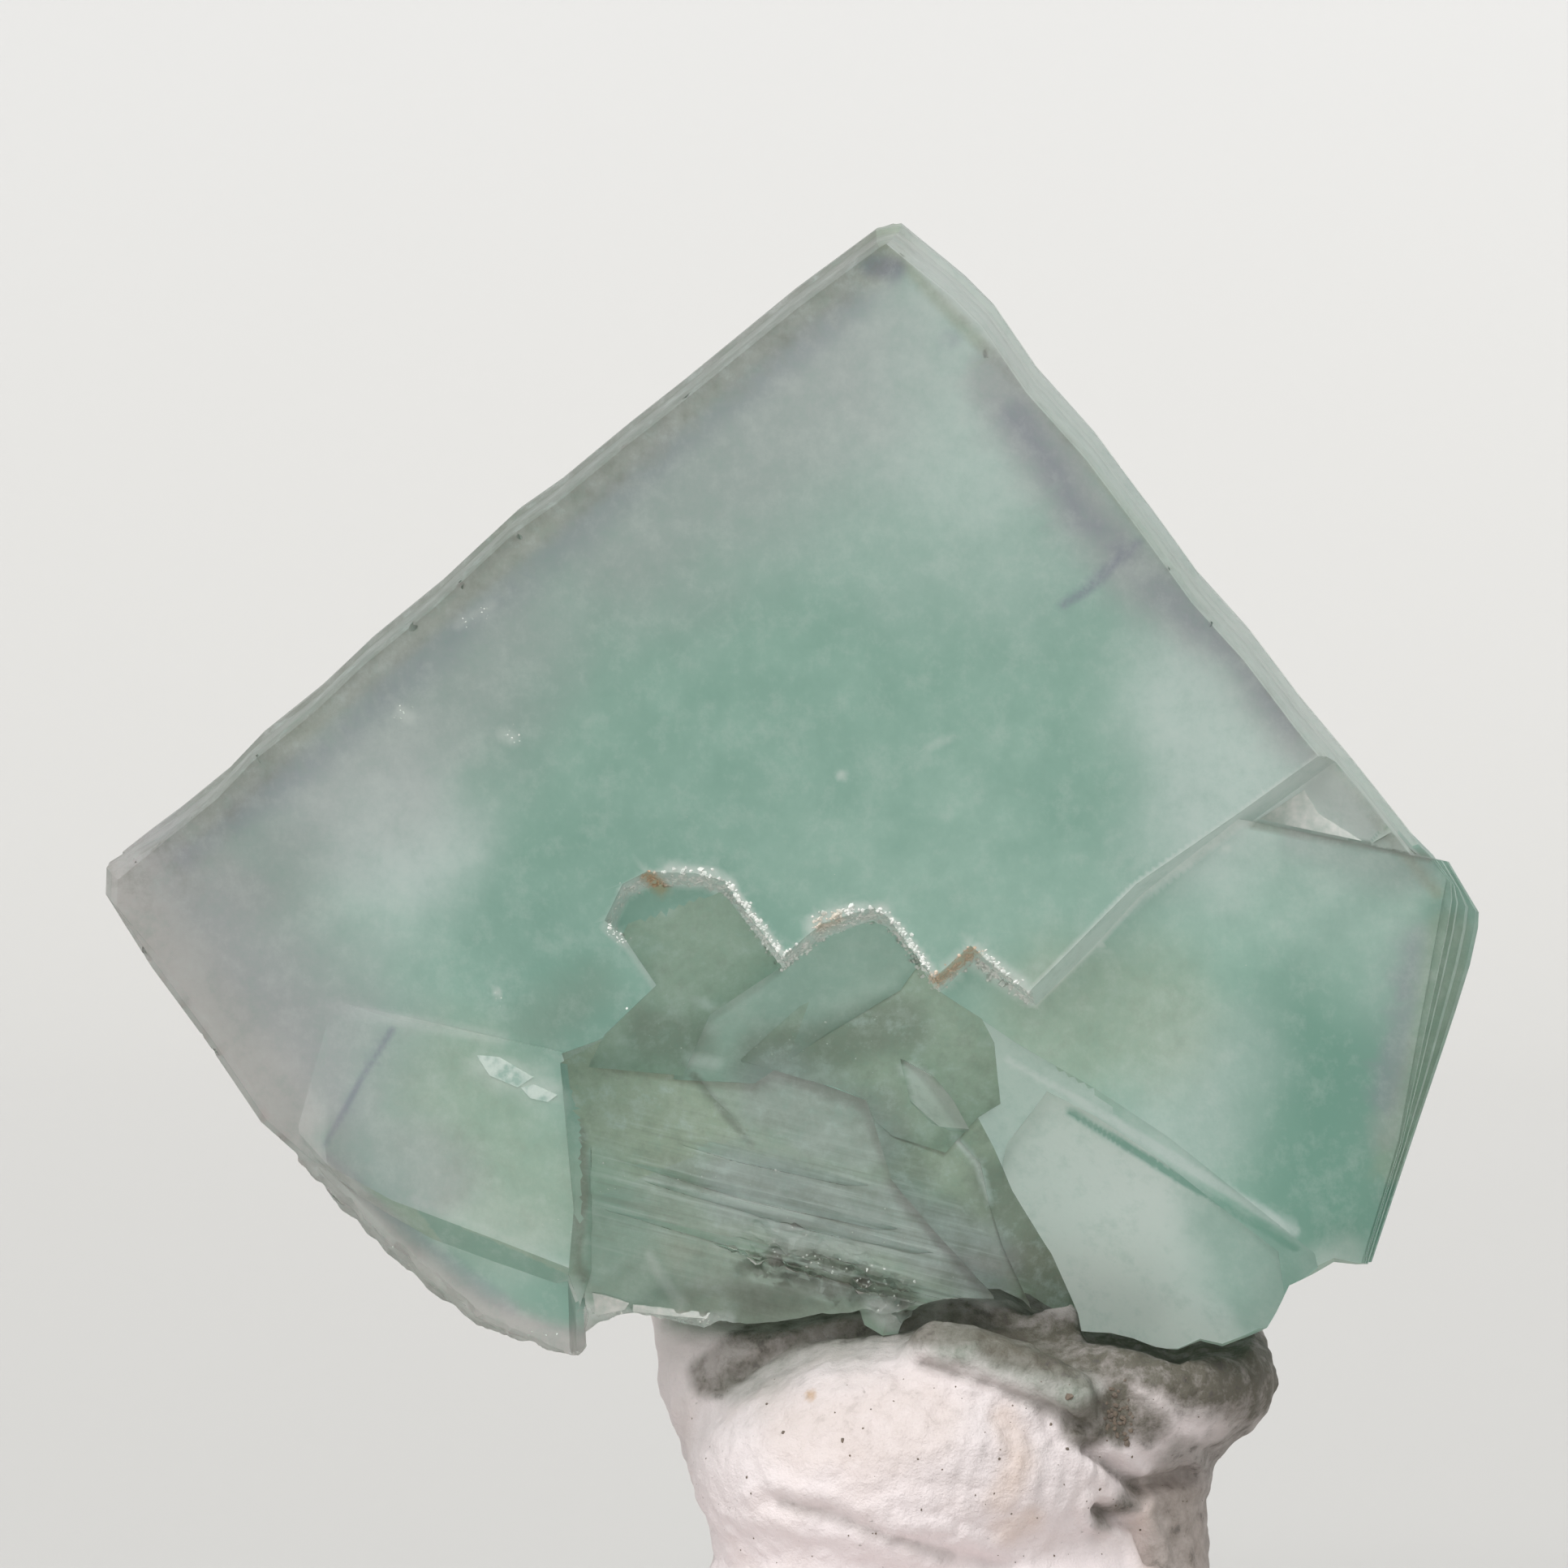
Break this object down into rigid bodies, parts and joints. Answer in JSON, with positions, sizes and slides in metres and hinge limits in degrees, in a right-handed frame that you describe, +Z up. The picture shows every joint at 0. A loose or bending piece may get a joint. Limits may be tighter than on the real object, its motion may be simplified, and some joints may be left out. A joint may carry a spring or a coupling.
{
  "type": "fluorite crystal cluster on a putty stand",
  "caption": "Pale green fluorite: a flat, lozenge-shaped cube crystal standing on its broken corner, smaller cubes grown out of it, held upright in a lump of mineral putty.",
  "frame": {"origin": "middle of the putty's flat foot, on the surface that the specimen stands on", "axes": "+Z up; +X to the right when looking at the big crystal face; +Y from the front face towards the back"},
  "size_m": [0.0343, 0.0151, 0.0388],
  "materials": {
    "fluorite": "natural crystal faces, silky, broken glassy below",
    "putty": "matt, fingerprinted"
  },
  "bodies": {
    "root": {"fluorite_cluster": "fluorite", "putty_stand": "putty"}
  },
  "joints": []
}
